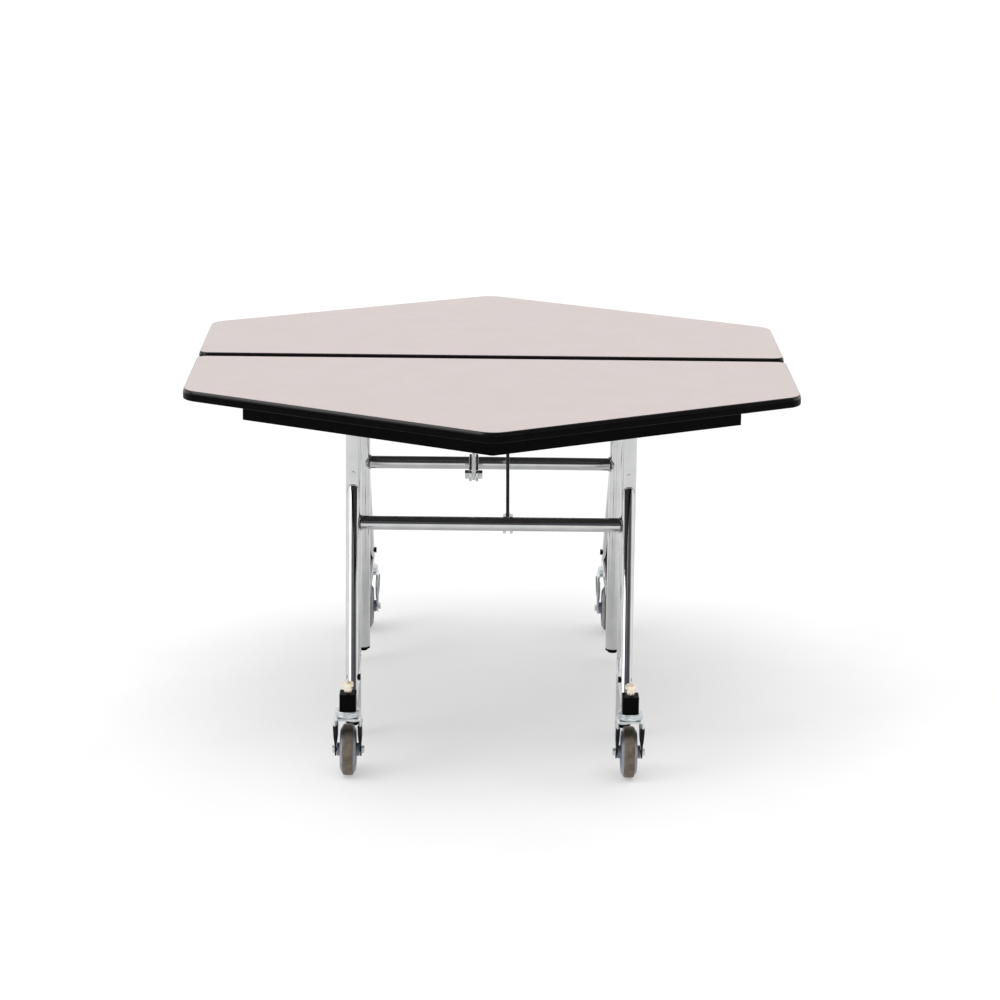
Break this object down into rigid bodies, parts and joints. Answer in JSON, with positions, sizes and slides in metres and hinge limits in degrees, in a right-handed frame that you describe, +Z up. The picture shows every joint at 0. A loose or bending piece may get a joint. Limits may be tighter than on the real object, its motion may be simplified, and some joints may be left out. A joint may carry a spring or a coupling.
{
  "type": "folding mobile table",
  "caption": "Hexagonal mobile cafeteria table with a split laminate top that folds up along its middle on upright chrome leg frames with swivel casters.",
  "frame": {"origin": "on the floor under the middle of the fold line", "axes": "+Z up, X along the fold line, +Y towards the rear half, the front half on the -Y side"},
  "size_m": [1.2192, 1.3924, 0.737],
  "materials": {
    "laminate": "satin grey nebula laminate",
    "top_core": "dark backed board",
    "edge_band": "black vinyl edge",
    "black_steel": "black powder coat",
    "chrome": "bright chrome plate",
    "zinc": "zinc plate",
    "yellow_zinc": "yellow zinc plate",
    "black_plastic": "moulded black",
    "wheel_core": "moulded grey",
    "tread": "brown elastomer"
  },
  "bodies": {
    "front_frame": {"front_leg_left": "chrome", "front_leg_right": "chrome", "front_strut_left": "chrome", "front_strut_right": "chrome", "front_outrigger_left": "chrome", "front_outrigger_right": "chrome", "front_crossbar": "chrome", "front_caster_sockets": "black_plastic", "front_foot_caps": "black_plastic", "front_link_ears": "chrome", "front_frame_bolts": "zinc", "front_caster_stems": "yellow_zinc", "front_caster_races": "zinc"},
    "front_top": {"front_top_core": "top_core", "front_top_laminate": "laminate", "front_edge_band": "edge_band", "front_apron_left": "black_steel", "front_apron_right": "black_steel", "front_leg_brackets": "black_steel", "front_pivot_pins": "zinc", "front_lock_bracket": "black_steel", "front_hinge_leaves": "black_steel", "hinge_pins": "zinc"},
    "rear_top": {"rear_top_core": "top_core", "rear_top_laminate": "laminate", "rear_edge_band": "edge_band", "rear_apron_left": "black_steel", "rear_apron_right": "black_steel", "rear_leg_brackets": "black_steel", "rear_pivot_pins": "zinc", "rear_lock_bracket": "black_steel", "rear_hinge_leaves": "black_steel"},
    "rear_frame": {"rear_leg_left": "chrome", "rear_leg_right": "chrome", "rear_strut_left": "chrome", "rear_strut_right": "chrome", "rear_outrigger_left": "chrome", "rear_outrigger_right": "chrome", "rear_crossbar": "chrome", "rear_caster_sockets": "black_plastic", "rear_foot_caps": "black_plastic", "rear_link_ears": "chrome", "rear_frame_bolts": "zinc", "rear_caster_stems": "yellow_zinc", "rear_caster_races": "zinc"},
    "front_link": {"front_fold_link": "chrome"},
    "rear_link": {"rear_fold_link": "chrome"},
    "front_left_swivel": {"front_left_caster_fork": "zinc"},
    "front_left_wheel": {"front_left_wheel_core": "wheel_core", "front_left_wheel_tread": "tread"},
    "front_right_swivel": {"front_right_caster_fork": "zinc"},
    "front_right_wheel": {"front_right_wheel_core": "wheel_core", "front_right_wheel_tread": "tread"},
    "rear_left_swivel": {"rear_left_caster_fork": "zinc"},
    "rear_left_wheel": {"rear_left_wheel_core": "wheel_core", "rear_left_wheel_tread": "tread"},
    "rear_right_swivel": {"rear_right_caster_fork": "zinc"},
    "rear_right_wheel": {"rear_right_wheel_core": "wheel_core", "rear_right_wheel_tread": "tread"}
  },
  "joints": [
    {"name": "fold", "type": "hinge", "parent": "front_frame", "child": "front_top", "pos_m": [0, -0.261, 0.6902], "axis": [1, 0, 0], "range_deg": [0, 66]},
    {"name": "centre_hinge", "type": "hinge", "parent": "front_top", "child": "rear_top", "pos_m": [0, 0, 0.714], "axis": [1, 0, 0], "range_deg": [-132, 0]},
    {"name": "rear_leg_pivot", "type": "hinge", "parent": "rear_top", "child": "rear_frame", "pos_m": [0, 0.261, 0.6902], "axis": [1, 0, 0], "range_deg": [0, 66]},
    {"name": "front_link_pivot", "type": "hinge", "parent": "front_frame", "child": "front_link", "pos_m": [0.035, -0.2, 0.437], "axis": [1, 0, 0], "range_deg": [0, 46.6]},
    {"name": "rear_link_pivot", "type": "hinge", "parent": "rear_frame", "child": "rear_link", "pos_m": [-0.035, 0.2, 0.437], "axis": [1, 0, 0], "range_deg": [-46.6, 0]},
    {"name": "front_left_caster_swivel", "type": "hinge", "parent": "front_frame", "child": "front_left_swivel", "pos_m": [-0.276, -0.527, 0.12], "axis": [0, 0, 1], "continuous": true},
    {"name": "front_left_wheel_roll", "type": "hinge", "parent": "front_left_swivel", "child": "front_left_wheel", "pos_m": [-0.276, -0.505, 0.0508], "axis": [1, 0, 0], "continuous": true},
    {"name": "front_right_caster_swivel", "type": "hinge", "parent": "front_frame", "child": "front_right_swivel", "pos_m": [0.276, -0.527, 0.12], "axis": [0, 0, 1], "continuous": true},
    {"name": "front_right_wheel_roll", "type": "hinge", "parent": "front_right_swivel", "child": "front_right_wheel", "pos_m": [0.276, -0.505, 0.0508], "axis": [1, 0, 0], "continuous": true},
    {"name": "rear_left_caster_swivel", "type": "hinge", "parent": "rear_frame", "child": "rear_left_swivel", "pos_m": [-0.276, 0.527, 0.12], "axis": [0, 0, 1], "continuous": true},
    {"name": "rear_left_wheel_roll", "type": "hinge", "parent": "rear_left_swivel", "child": "rear_left_wheel", "pos_m": [-0.276, 0.505, 0.0508], "axis": [1, 0, 0], "continuous": true},
    {"name": "rear_right_caster_swivel", "type": "hinge", "parent": "rear_frame", "child": "rear_right_swivel", "pos_m": [0.276, 0.527, 0.12], "axis": [0, 0, 1], "continuous": true},
    {"name": "rear_right_wheel_roll", "type": "hinge", "parent": "rear_right_swivel", "child": "rear_right_wheel", "pos_m": [0.276, 0.505, 0.0508], "axis": [1, 0, 0], "continuous": true}
  ],
  "couplings": [
    {"joint": "centre_hinge", "follows": "fold", "ratio": -2},
    {"joint": "rear_leg_pivot", "follows": "fold", "ratio": 1},
    {"joint": "front_link_pivot", "follows": "fold", "ratio": 0.698},
    {"joint": "rear_link_pivot", "follows": "fold", "ratio": -0.698}
  ]
}
